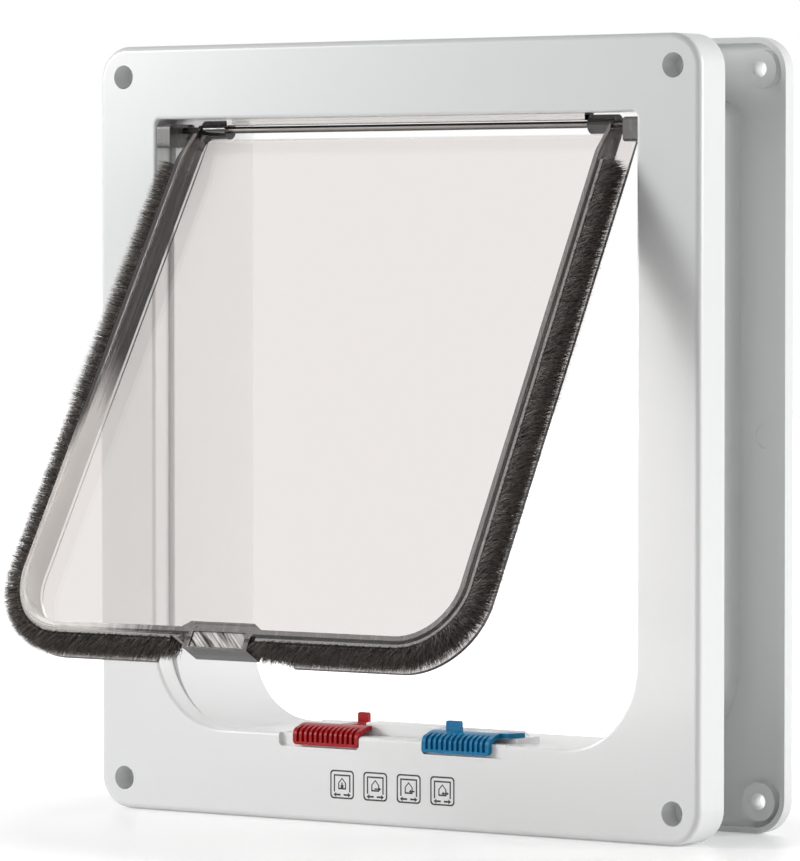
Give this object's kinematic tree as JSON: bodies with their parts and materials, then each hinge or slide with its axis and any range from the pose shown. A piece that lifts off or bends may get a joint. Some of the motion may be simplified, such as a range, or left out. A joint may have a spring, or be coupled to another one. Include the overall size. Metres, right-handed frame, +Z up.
{
  "type": "cat flap",
  "caption": "Pet door for a house door: two moulded frames joined by a sliding tunnel, a clear swinging flap with a pile seal and magnet catch, and two sliding locks in the sill.",
  "frame": {"origin": "middle of the front frame's standing edge, half way between its face and the side that meets the door", "axes": "+Z up, +Y from the front face through the door to the rear frame, +X to the right seen from the front"},
  "size_m": [0.235, 0.146, 0.25],
  "materials": {
    "white_abs": "gloss",
    "white_abs_liner": "gloss",
    "white_abs_rear": "gloss",
    "white_abs_sill": "gloss",
    "keeper_steel": "brushed",
    "red_abs": "gloss",
    "blue_abs": "gloss",
    "rod_steel": "polished",
    "smoked_block": "gloss",
    "smoked_strip": "gloss",
    "smoked_clear": "clear gloss",
    "magnet_steel": "brushed",
    "woven_backing": "woven",
    "grey_pile": "pile"
  },
  "bodies": {
    "frame": {"front_frame": "white_abs", "tunnel_liner": "white_abs_liner", "rear_frame": "white_abs_rear", "threshold_bar": "white_abs_sill", "keeper_magnet": "keeper_steel", "hinge_rod": "rod_steel", "hinge_block_left": "smoked_block", "hinge_block_right": "smoked_block", "header_strip": "smoked_strip"},
    "flap": {"flap_panel": "smoked_clear", "flap_magnet": "magnet_steel", "brush_backing_left": "woven_backing", "brush_backing_right": "woven_backing", "brush_pile_left": "grey_pile", "brush_pile_right": "grey_pile"},
    "red_lock": {"red_slider": "red_abs"},
    "blue_lock": {"blue_slider": "blue_abs"}
  },
  "joints": [
    {"name": "flap_hinge", "type": "hinge", "parent": "frame", "child": "flap", "pos_m": [0, 0.003, 0.2224], "axis": [1, 0, 0], "range_deg": [-45, 105]},
    {"name": "red_slide", "type": "slide", "parent": "frame", "child": "red_lock", "axis": [-1, 0, 0], "range_m": [0, 0.0056]},
    {"name": "blue_slide", "type": "slide", "parent": "frame", "child": "blue_lock", "axis": [1, 0, 0], "range_m": [0, 0.0056]}
  ]
}
